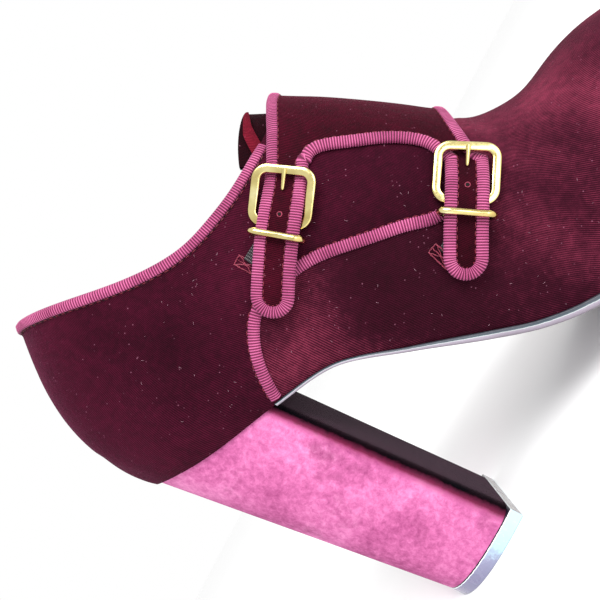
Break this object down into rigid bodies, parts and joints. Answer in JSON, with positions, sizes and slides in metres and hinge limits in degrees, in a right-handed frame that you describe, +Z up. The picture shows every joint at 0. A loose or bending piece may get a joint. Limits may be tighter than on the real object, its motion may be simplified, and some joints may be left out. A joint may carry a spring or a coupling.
{
  "type": "ankle boot",
  "caption": "High block-heel ankle boot for the right foot, with a low scooped collar and an instep flap that ends in buckled straps.",
  "frame": {"origin": "on the floor under the centre of the boot's bounding box", "axes": "+X from the heel to the toe, +Y from the outer side to the inner side, +Z up"},
  "size_m": [0.2302, 0.0854, 0.1617],
  "materials": {
    "velvet": "burgundy cotton velvet with a fine twill",
    "tongue_velvet": "burgundy velvet",
    "flap_velvet": "burgundy velvet",
    "heel_velvet": "velvet with a pink crushed sheen",
    "ribbon": "ribbed ribbon",
    "gilt": "polished gold colour",
    "sole_leather": "dark edge, smooth",
    "lining": "matt black lining",
    "top_piece": "glossy grey blue",
    "elastic": "woven elastic"
  },
  "bodies": {
    "root": {"upper": "velvet", "outsole": "sole_leather", "insole": "lining", "heel": "heel_velvet", "heel_tip": "top_piece", "tongue": "tongue_velvet", "flap": "flap_velvet", "flap_ribbon": "ribbon", "collar_ribbon": "ribbon", "quarter_ribbon_outer": "ribbon", "quarter_ribbon_inner": "ribbon", "buckle_back": "gilt", "buckle_front": "gilt", "keeper_back": "gilt", "keeper_front": "gilt", "elastic_back": "elastic", "elastic_front": "elastic"}
  },
  "joints": []
}
